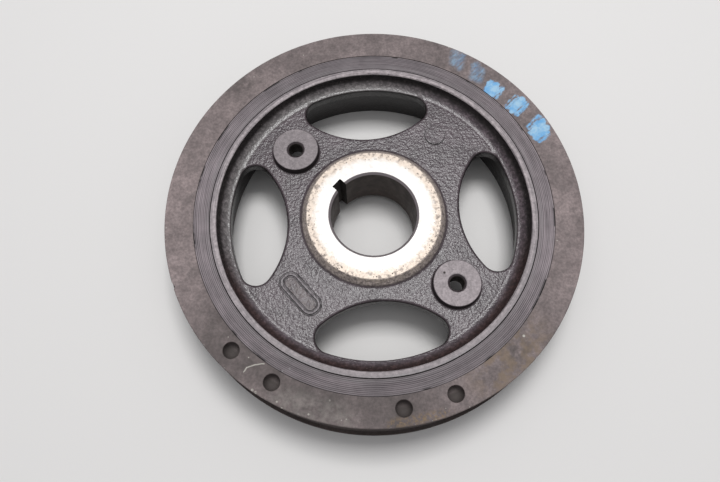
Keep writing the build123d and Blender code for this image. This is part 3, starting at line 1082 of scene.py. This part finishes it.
@dataclass
class Hub:
    """The cast hub. It is a CAD node that keeps its shape and gets its finish here."""

    node: bpy.types.Object
    front_z: float
    bore_radius: float
    puller_circle: float
    thread_radius: float
    face_z: float
    face_radius: float = 23.6
    foot_radius: float = 25.6
    web_z: float = 21.1
    lip_radius: float = 54.5
    puller_angle: float = 135.0
    puller_radius: float = 8.1
    key_angle: float = 135.0
    key_width: float = 4.0
    frame_circle: float = 37.4
    frame_angle: float = 224.5
    frame_turn: float = -51.0
    frame_length: float = 16.6
    frame_width: float = 6.4
    frame_corner: float = 2.9
    pad_place: Point = (24.4, 30.2)
    pad_radius: float = 3.5
    finish: HubFinish = field(default_factory=HubFinish)

    @classmethod
    def from_frame(cls, frame: dict) -> "Hub":
        """Reads the hub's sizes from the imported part.


        Returns:
            The hub.
        """
        mounts = {mount["name"]: mount for mount in frame["record"]["mounts"]}
        holes = mounts["puller_holes"]["dims"]
        return cls(
            node=frame["nodes"]["hub"],
            front_z=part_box("hub")[1].z / MM,
            bore_radius=mounts["bore"]["dims"]["r_mm"],
            puller_circle=holes["pcd_mm"] / 2,
            thread_radius=holes["hole_r_mm"],
            face_z=mounts["bolt_seat"]["pos_m"][2] / MM,
        )

    def from_puller(self, g: ShaderGraph) -> Socket:
        """The distance from the axis of the nearer puller hole.

        Args:
            g: the finish's graph.

        Returns:
            The distance in millimetres.
        """
        along, aside = g.turned(g.flat, self.puller_angle)
        offset = g.math("SUBTRACT", g.math("ABSOLUTE", along), self.puller_circle)
        return g.length(g.combine(offset, aside))

    def keyway_mask(self, g: ShaderGraph) -> Socket:
        """1 inside the keyway, below the hub's face.

        Args:
            g: the finish's graph.

        Returns:
            The mask.
        """
        along, aside = g.turned(g.flat, self.key_angle)
        half = self.key_width / 2
        beside = g.step(g.math("ABSOLUTE", aside), half + 0.1, half + 0.02)
        beyond_wall = g.step(along, self.bore_radius - 0.35, self.bore_radius - 0.25)
        before_end = g.step(along, self.bore_radius + 4.0, self.bore_radius + 3.8)
        return g.both(beside, beyond_wall, before_end, g.level(self.face_z, -0.02, -0.10))

    def from_frame_line(self, g: ShaderGraph) -> Socket:
        """The distance from the outline of the raised frame mark on the lower left spoke.

        Args:
            g: the finish's graph.

        Returns:
            The distance in millimetres, below 0 inside.
        """
        centre = (*polar(self.frame_circle, self.frame_angle), 0.0)
        turned = g.turned(g.vector("SUBTRACT", g.flat, centre), self.frame_turn)
        beyond = g.vector("MAXIMUM", (0.0, 0.0, 0.0), g.combine(*[
            g.math("SUBTRACT", g.math("ABSOLUTE", part), size / 2 - self.frame_corner)
            for part, size in zip(turned, (self.frame_length, self.frame_width))]))
        return g.math("SUBTRACT", g.length(beyond), self.frame_corner)

    def from_pad_edge(self, g: ShaderGraph) -> Socket:
        """The distance outside the edge of the round pad on the upper right spoke."""
        return g.math("SUBTRACT", g.away(self.pad_place), self.pad_radius)

    def build(self) -> bpy.types.Object:
        """Gives the node its finish and returns it."""
        self.node.material_slots[0].material = self.finish.material(self)
        return self.node


@dataclass
class RimCove:
    """The wide cast cove that rises from the web to the rim and lies on the hub's own root."""

    web_z: float = 21.1
    foot_radius: float = 53.985  # where the rim's wall would meet the web
    wall_draft: float = 6.0  # degrees
    cove_radius: float = 4.6
    window_count: int = 4
    window_end_radius: float = 5.4
    window_end_place: Point = (41.686, 16.910)  # centre of an end, from the window's middle line
    window_edge_round: float = 0.4
    end_edge_round: float = 1.0  # where the cove runs out beside a window's end
    end_spread: float = 2.85  # degrees over which the one round becomes the other
    seat: float = 0.01  # how far its edges lie under the hub's skin
    window_gap: float = 0.02
    inside_radius: float = 55.2  # of its hidden back, in the rim's wall
    inside_drop: float = 1.2  # of its hidden underside, below the web's face
    steps: int = 18
    crowding: float = 2.0  # how much closer the steps lie near a window
    segments: int = 720

    @property
    def start_radius(self) -> float:
        """The radius at which the cove leaves the web."""
        return self.foot_radius - self.cove_radius / tan(radians((90 + self.wall_draft) / 2))

    def _past_arc(self, angle: float) -> tuple[float, float]:
        """The radius of a window end's centre, and how far an angle lies beyond it.

        Args:
            angle: the angle about the axis, in radians.

        Returns:
            The radius in millimetres, and the angle in radians.
        """
        circle, lean = hypot(*self.window_end_place), atan2(*reversed(self.window_end_place))
        share = 2 * pi / self.window_count
        from_middle = abs((angle + share / 2) % share - share / 2)
        return circle, max(from_middle - lean, 0.0)

    def _edge_radius(self, angle: float) -> float:
        """The radius at which the cove begins at an angle: its start or a window's edge.

        Args:
            angle: the angle about the axis, in radians.

        Returns:
            The radius in millimetres.
        """
        circle, past = self._past_arc(angle)
        aside = circle * sin(past)
        if aside >= self.window_end_radius:
            return self.start_radius
        edge = circle * cos(past) + sqrt(self.window_end_radius ** 2 - aside ** 2)
        return max(self.start_radius, edge + self.window_gap)

    def _height(self, angle: float, radius: float) -> float:
        """The height of the cove's skin, rounded down beside a window.

        Args:
            angle: the angle about the axis, in radians.
            radius: the distance from the axis, in millimetres.

        Returns:
            The height in millimetres.
        """
        circle, past = self._past_arc(angle)
        from_end = hypot(radius * cos(past) - circle, radius * sin(past)) - self.window_end_radius
        share = min(past / radians(self.end_spread), 1.0)
        edge = self.window_edge_round + share * (self.end_edge_round - self.window_edge_round)
        short = max(edge - max(from_end, 0.0), 0.0)
        drop = edge - sqrt(edge ** 2 - short ** 2)
        out = min(radius - self.start_radius, self.cove_radius)
        rise = self.cove_radius - sqrt(self.cove_radius ** 2 - out ** 2)
        return self.web_z + rise - drop - self.seat

    def _section(self, angle: float) -> list[Point]:
        """The closed section at an angle, as radii and heights in millimetres.

        Args:
            angle: the angle about the axis, in radians.

        Returns:
            The section's points, in order round it.
        """
        start, edge = self.start_radius, self._edge_radius(angle)
        first = asin((edge - start) / self.cove_radius)
        last = radians(90 - self.wall_draft)
        skin = []
        for step in range(self.steps + 1):
            lean = first + (last - first) * (step / self.steps) ** self.crowding
            radius = start + self.cove_radius * sin(lean)
            skin.append((radius, self._height(angle, radius)))
        top, floor = skin[-1][1], self.web_z - self.inside_drop
        back = [(self.inside_radius, top), (self.inside_radius, floor), (edge, floor)]
        return skin + back

    def build(self, finish: bpy.types.Material) -> bpy.types.Object:
        """Builds the cove as one closed ring.

        Args:
            finish: the hub's finish.

        Returns:
            The piece.
        """
        shape = bmesh.new()
        columns = []
        for number in range(self.segments):
            angle = 2 * pi * number / self.segments
            columns.append([shape.verts.new(Vector((r * cos(angle), r * sin(angle), z)) * MM)
                            for r, z in self._section(angle)])
        for here, after in zip(columns, columns[1:] + columns[:1]):
            for low in range(len(here)):
                high = (low + 1) % len(here)
                shape.faces.new((here[low], here[high], after[high], after[low]))
        mesh = closed(shape, bpy.data.meshes.new("rim_root_cove"))
        mesh.materials.append(finish)
        return smoothed("rim_root_cove", mesh, CAST_SHARP)


@dataclass
class RubberRing:
    """The bonded rubber ring, with its moulded ridges and the joints on both sides."""

    inner_radius: float
    outer_radius: float
    front_z: float
    rear_z: float
    ridge_count: int = 8
    ridge_pitch: float = 0.56
    ridge_depth: float = 0.13
    ridge_start: float = 0.75  # from the inner joint to the first ridge
    inner_joint: Point = (0.45, 0.50)  # width and depth
    outer_joint: Point = (0.28, 0.25)
    steps_per_ridge: int = 8
    furrow_power: float = 1.4  # 1 follows a sine wave; more makes narrower furrows
    shoulder: float = 0.1  # width of the slope from a flat land into the first furrow
    segments: int = 288
    finish: RubberFinish = field(default_factory=RubberFinish)

    @classmethod
    def from_frame(cls) -> "RubberRing":
        """Reads the ring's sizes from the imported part."""
        low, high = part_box("rubber_ring")
        return cls(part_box("hub")[1].x / MM, high.x / MM, high.z / MM, low.z / MM)

    def furrow_mask(self, g: ShaderGraph) -> Socket:
        """1 in the furrows between the ridges.

        Args:
            g: the finish's graph.

        Returns:
            The mask.
        """
        first = self.inner_radius + self.ridge_start
        last = first + self.ridge_count * self.ridge_pitch
        share = g.math("DIVIDE", g.math("SUBTRACT", g.radius, first), self.ridge_pitch)
        wave = g.math("ABSOLUTE", g.math("SINE", g.math("MULTIPLY", share, pi)))
        band = g.between(g.radius, first - self.shoulder, last + self.shoulder, 0.05)
        return g.both(g.step(wave, 0.60, 0.15), band)

    def inner_joint_mask(self, g: ShaderGraph) -> Socket:
        """1 in the joint with the hub's rim."""
        width = self.inner_joint[0]
        return g.step(g.radius, self.inner_radius + width, self.inner_radius + 0.7 * width)

    def outer_joint_mask(self, g: ShaderGraph) -> Socket:
        """1 in the joint with the inertia ring."""
        width = self.outer_joint[0]
        return g.step(g.radius, self.outer_radius - width, self.outer_radius - 0.6 * width)

    def build(self) -> bpy.types.Object:
        """Builds the ridged ring.

        Returns:
            The piece.
        """
        rule = GeometryRule("ridged_rubber")
        count, pitch, depth, start, segments = rule.fields(
            self, "ridge_count", "ridge_pitch", "ridge_depth", "ridge_start", "segments")
        inner_width, inner_dip, outer_width, outer_dip = [
            rule.given(f"{side} Joint {part}", value)
            for side, joint in (("Inner", self.inner_joint), ("Outer", self.outer_joint))
            for part, value in zip(("Width", "Depth"), joint)]
        finish = rule.given("Finish", self.finish.material(self))
        inner, outer, front, rear = self.inner_radius, self.outer_radius, self.front_z, self.rear_z

        index = rule.add("GeometryNodeInputIndex").outputs[0]
        share = rule.math("DIVIDE", index, float(self.steps_per_ridge))
        first = rule.math("ADD", start, inner)
        last = rule.math("ADD", first, rule.math("MULTIPLY", count, pitch))
        radius = rule.math("ADD", first, rule.math("MULTIPLY", share, pitch))
        wave = rule.math("ABSOLUTE", rule.math("SINE", rule.math("MULTIPLY", share, pi)))
        furrow = rule.math("POWER", rule.math("SUBTRACT", 1.0, wave), self.furrow_power)
        height = rule.math("SUBTRACT", front, rule.math("MULTIPLY", furrow, depth))
        points = rule.math("MULTIPLY_ADD", count, float(self.steps_per_ridge), 1.0)
        ridges = rule.polyline(points, radius, height)

        furrow_z = rule.math("SUBTRACT", front, depth)
        inner_z = rule.math("SUBTRACT", front, inner_dip)
        outer_z = rule.math("SUBTRACT", front, outer_dip)
        inner_land = rule.math("ADD", inner, inner_width)
        outer_land = rule.math("SUBTRACT", outer, outer_width)
        inside = rule.corners((inner, rear), (inner, inner_z), (inner_land, front),
                              (rule.math("SUBTRACT", first, self.shoulder), front),
                              (first, furrow_z))
        outside = rule.corners((last, furrow_z), (rule.math("ADD", last, self.shoulder), front),
                               (outer_land, front), (outer, outer_z), (outer, rear))
        back = rule.corners((outer, rear), (inner, rear))
        ring = rule.sweep(rule.join(inside, ridges, outside, back), segments)
        rule.finish(ring, finish)
        return smoothed("rubber_ring_ridged", rule.run("rubber_ring_ridged"), CAST_SHARP)


@dataclass
class InertiaRing:
    """The outer ring: belt grooves, rear flange, balance drillings and timing nick."""

    inner_radius: float
    flange_radius: float
    front_z: float
    flange_step: float = 1.3
    rear_flange: float = 3.04
    groove_count: int = 6
    groove_pitch: float = 3.56
    groove_depth: float = 2.9
    groove_floor: float = 0.9
    groove_angle: float = 40.0
    crest_round: float = 0.22
    edge_round: float = 0.35
    drill_radius: float = 2.75
    drill_depth: float = 3.9
    drill_roundness: float = 2.6  # 2 is a ball's end; more is flatter
    drill_mouth: float = 0.14
    drill_inset: float = 5.65
    drill_angles: tuple[float, ...] = (222.3, 236.9, 274.4, 289.2)
    nick_angle: float = 198.4
    nick_depth: float = 0.75
    nick_lead: float = 2.2
    nick_heel: float = 0.6
    front_land: float = 1.6
    seam_inset: float = 2.0  # from the bore to where the parts of the section meet
    cutter_rise: float = 1.0  # how far the cutters stand above the face
    groove_points: int = 5  # of each groove's section, with the crest before it
    crest_steps: int = 3
    edge_steps: int = 4
    drill_steps: int = 20
    drill_segments: int = 64
    segments: int = 360
    finish: RingFinish = field(default_factory=RingFinish)

    @classmethod
    def from_frame(cls) -> "InertiaRing":
        """Reads the ring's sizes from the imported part."""
        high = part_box("inertia_ring")[1]
        return cls(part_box("rubber_ring")[1].x / MM, high.x / MM, high.z / MM)

    @property
    def front_radius(self) -> float:
        """The radius of the front land and of the grooves' crests."""
        return self.flange_radius - self.flange_step

    def build(self) -> bpy.types.Object:
        """Builds the ring and cuts its drillings and nick.

        Returns:
            The piece.
        """
        finish = self.finish.material(self)
        ring = piece("inertia_ring_blank", self._blank(finish))
        tools = []
        for number, cutter in enumerate((self._drills(finish), self._nick(finish))):
            tool = piece(f"ring_cutter_{number}", cutter)
            cut = ring.modifiers.new(tool.name, "BOOLEAN")
            cut.operation, cut.solver, cut.object = "DIFFERENCE", "EXACT", tool
            tools.append(tool)
        mesh = applied(ring)
        for tool in tools:
            bpy.data.objects.remove(tool)
        return smoothed("inertia_ring_grooved", mesh)

    def _blank(self, finish: bpy.types.Material) -> bpy.types.Mesh:
        """The turned ring with its belt grooves, before it is drilled.

        Args:
            finish: the ring's finish.

        Returns:
            The mesh of the ring.
        """
        rule = GeometryRule("grooved_ring")
        count, pitch, depth, floor, crest, edge, flange, segments = rule.fields(
            self, "groove_count", "groove_pitch", "groove_depth", "groove_floor", "crest_round",
            "edge_round", "rear_flange", "segments")
        angle = rule.given("Groove Angle", radians(self.groove_angle))
        dress = rule.given("Finish", finish)
        land_radius, flange_radius = self.front_radius, self.flange_radius
        inner, seam, front = self.inner_radius, self.inner_radius + self.seam_inset, self.front_z
        per_groove = float(self.groove_points)

        index = rule.add("GeometryNodeInputIndex").outputs[0]
        groove = rule.math("FLOOR", rule.math("DIVIDE", index, per_groove))
        corner = rule.math("MODULO", index, per_groove)
        slope = rule.math("TANGENT", rule.math("MULTIPLY", angle, 0.5))
        half_floor = rule.math("MULTIPLY", floor, 0.5)
        half_mouth = rule.math("MULTIPLY_ADD", depth, slope, half_floor)
        offset = rule.choose(corner, rule.math("MULTIPLY", pitch, -0.5),
                             rule.math("MULTIPLY", half_mouth, -1.0),
                             rule.math("MULTIPLY", half_floor, -1.0), half_floor, half_mouth)
        deep = rule.choose(corner, 0.0, 0.0, 1.0, 1.0, 0.0)
        middle = rule.math("MULTIPLY_ADD", rule.math("ADD", groove, 0.5), pitch, flange)
        height = rule.math("ADD", middle, offset)
        radius = rule.math("SUBTRACT", land_radius, rule.math("MULTIPLY", deep, depth))
        points = rule.math("MULTIPLY_ADD", count, per_groove, 1.0)
        grooves = rule.rounded(rule.polyline(points, radius, height), crest, self.crest_steps)

        last = rule.math("MULTIPLY_ADD", count, pitch, flange)
        back = rule.rounded(rule.corners((land_radius, flange), (flange_radius, flange),
                                         (flange_radius, 0.0), (seam, 0.0)), edge, self.edge_steps)
        seat = rule.corners((seam, 0.0), (inner, 0.0), (inner, front), (seam, front))
        face = rule.rounded(rule.corners((seam, front), (land_radius, front),
                                         (land_radius, last)), edge, self.edge_steps)
        rule.finish(rule.sweep(rule.join(grooves, back, seat, face), segments), dress)
        return rule.run("inertia_ring_blank")

    @property
    def drill_circle(self) -> float:
        """The radius at which the balance drillings lie."""
        return self.front_radius - self.drill_inset

    def drilled_mask(self, g: ShaderGraph) -> Socket:
        """1 over the balance drillings."""
        return g.either(*[g.spot(polar(self.drill_circle, angle), self.drill_radius, 0.05)
                          for angle in self.drill_angles])

    def _drills(self, finish: bpy.types.Material) -> bpy.types.Mesh:
        """Cutters with a smooth round bottom, one at each balance drilling.

        Args:
            finish: the ring's finish.

        Returns:
            The mesh of the cutters.
        """
        rule = GeometryRule("balance_drills")
        radius, depth, roundness = rule.fields(
            self, "drill_radius", "drill_depth", "drill_roundness")
        power = rule.math("DIVIDE", 2.0, roundness)
        mouth = rule.given("Drill Mouth Chamfer", self.drill_mouth)
        circle = rule.given("Drill Circle", self.drill_circle)
        angles = [rule.given(f"Drill Angle {number + 1}", radians(value))
                  for number, value in enumerate(self.drill_angles)]
        dress = rule.given("Finish", finish)
        index = rule.add("GeometryNodeInputIndex").outputs[0]
        lean = rule.math("MULTIPLY", rule.math("MINIMUM", index, float(self.drill_steps)),
                         pi / 2 / self.drill_steps)
        out = rule.math("POWER", rule.math("SINE", lean), power)
        down = rule.math("POWER", rule.math("MAXIMUM", rule.math("COSINE", lean), 0.0), power)
        sunk = rule.math("MULTIPLY", mouth, -1.0)
        floor = rule.math("MULTIPLY", down, rule.math("ADD", sunk, depth))
        bowl = rule.polyline(self.drill_steps + 1, rule.math("MULTIPLY", out, radius),
                             rule.math("SUBTRACT", sunk, floor))
        wide = rule.math("ADD", radius, mouth)
        wall = rule.corners((radius, sunk), (wide, 0.0), (wide, self.cutter_rise),
                            (0.0, self.cutter_rise))
        drill = rule.sweep(rule.join(bowl, wall), self.drill_segments)
        angle = rule.choose(index, *angles)
        reach = rule.math("MULTIPLY", circle, MM)
        spots = rule.add("GeometryNodeMeshLine", {"Count": len(angles)}).outputs[0]
        spots = rule.add("GeometryNodeSetPosition", {
            "Geometry": spots,
            "Position": rule.combine(rule.math("MULTIPLY", reach, rule.math("COSINE", angle)),
                                     rule.math("MULTIPLY", reach, rule.math("SINE", angle)),
                                     self.front_z * MM),
        }).outputs[0]
        drills = rule.add("GeometryNodeInstanceOnPoints", {"Points": spots, "Instance": drill})
        rule.finish(drills.outputs[0], dress)
        return rule.run("balance_drills")

    def _nick(self, finish: bpy.types.Material) -> bpy.types.Mesh:
        """A cutter for the timing nick: a shallow flank and a steep one.

        Args:
            finish: the ring's finish.

        Returns:
            The mesh of the cutter.
        """
        shape = bmesh.new()
        heights = (self.front_z - self.front_land, self.front_z + self.cutter_rise)
        turn = Matrix.Rotation(radians(self.nick_angle), 3, "Z")
        corners = [(self.front_radius - self.nick_depth, 0.0),
                   (self.front_radius + self.nick_depth, -2 * self.nick_lead),
                   (self.front_radius + self.nick_depth, 2 * self.nick_heel)]
        rings = [[shape.verts.new(turn @ Vector((x, y, z)) * MM) for x, y in corners]
                 for z in heights]
        low, high = rings
        for here in range(len(corners)):
            after = (here + 1) % len(corners)
            shape.faces.new((low[here], low[after], high[after], high[here]))
        for ring in rings:
            shape.faces.new(ring)
        mesh = closed(shape, bpy.data.meshes.new("timing_nick"))
        mesh.materials.append(finish)
        return mesh


# ---- The studio ----------------------------------------------------------------------------


@dataclass(frozen=True)
class Lamp:
    """A square soft light that hangs over the part and shines straight down."""

    name: str
    size: float  # metres
    place: tuple[float, float, float]  # metres
    power: float  # watts

    def hang(self) -> None:
        """Adds the light to the scene."""
        data = bpy.data.lights.new(self.name, "AREA")
        data.shape = "SQUARE"
        data.size = self.size
        data.energy = self.power
        lamp = bpy.data.objects.new(self.name, data)
        lamp.location = self.place
        bpy.context.scene.collection.objects.link(lamp)


@dataclass
class Studio:
    """A plain pale floor under soft overhead light, and the camera."""

    camera_place: tuple[float, float, float] = (-8.28, -78.75, 236.83)  # millimetres
    camera_turn: float = -2.4  # degrees about the vertical
    camera_tilt: float = 18.0
    camera_roll: float = -1.094
    camera_lens: float = 32.58  # millimetres, on a sensor 36 wide
    sensor_width: float = 36.0
    floor_size: float = 8.0  # metres
    floor_gap: float = 0.05  # millimetres under the part
    floor_colour: Colour = (0.74, 0.73, 0.72)
    lamps: tuple[Lamp, ...] = (
        Lamp("softbox", 0.95, (-0.04, 0.05, 0.95), 2.6),
        Lamp("key", 0.30, (0.05, 0.20, 0.90), 5.2),
    )
    sky_colour: Colour = (0.25, 0.25, 0.26)

    def build(self) -> None:
        """Builds the studio."""
        self._camera()
        self._floor()
        for lamp in self.lamps:
            lamp.hang()
        self._sky()
        bpy.context.scene.view_settings.view_transform = "Standard"

    def _camera(self) -> None:
        """Places the camera and makes it the scene's."""
        data = bpy.data.cameras.new("camera")
        data.sensor_width = self.sensor_width
        data.lens = self.camera_lens
        data.clip_start, data.clip_end = 0.01, 20.0  # metres
        camera = bpy.data.objects.new("camera", data)
        turn = (Matrix.Rotation(radians(self.camera_turn), 4, "Z")
                @ Matrix.Rotation(radians(self.camera_tilt), 4, "X")
                @ Matrix.Rotation(radians(self.camera_roll), 4, "Z"))
        camera.matrix_world = Matrix.Translation(Vector(self.camera_place) * MM) @ turn
        bpy.context.scene.collection.objects.link(camera)
        bpy.context.scene.camera = camera

    def _floor(self) -> None:
        """Lays the floor just under the part."""
        half, z = self.floor_size / 2, -self.floor_gap * MM
        mesh = bpy.data.meshes.new("floor")
        corners = [(-half, -half, z), (half, -half, z), (half, half, z), (-half, half, z)]
        mesh.from_pydata(corners, [], [(0, 1, 2, 3)])
        g = ShaderGraph("floor_paper")
        mesh.materials.append(g.finish(Base_Color=self.floor_colour, Roughness=0.9))
        piece("floor", mesh)

    def _sky(self) -> None:
        """Fills the shadows with even light."""
        world = bpy.data.worlds.new("studio")
        world.use_nodes = True
        world.node_tree.nodes["Background"].inputs["Color"].default_value = (*self.sky_colour, 1.0)
        bpy.context.scene.world = world


# ---- The scene -----------------------------------------------------------------------------


def main() -> None:
    """Builds the pieces and the studio."""
    logging.basicConfig(level=logging.INFO, format="%(name)s: %(message)s")
    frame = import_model()

    hub = Hub.from_frame(frame).build()
    log.info("%s keeps its shape, with %d faces", hub.name, len(hub.data.polygons))
    cove = RimCove().build(hub.material_slots[0].material)
    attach(cove, "root")
    log.info("%s lies on %s, with %d faces", cove.name, hub.name, len(cove.data.polygons))

    for maker, node, slot in ((RubberRing, "rubber_ring", "rubber"),
                              (InertiaRing, "inertia_ring", "ring_iron")):
        made = maker.from_frame().build()
        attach(made, "root")
        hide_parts(node)
        log.info("%s stands for %s, with %d faces", made.name, node, len(made.data.polygons))

    Studio().build()


if __name__ == "__main__":
    main()
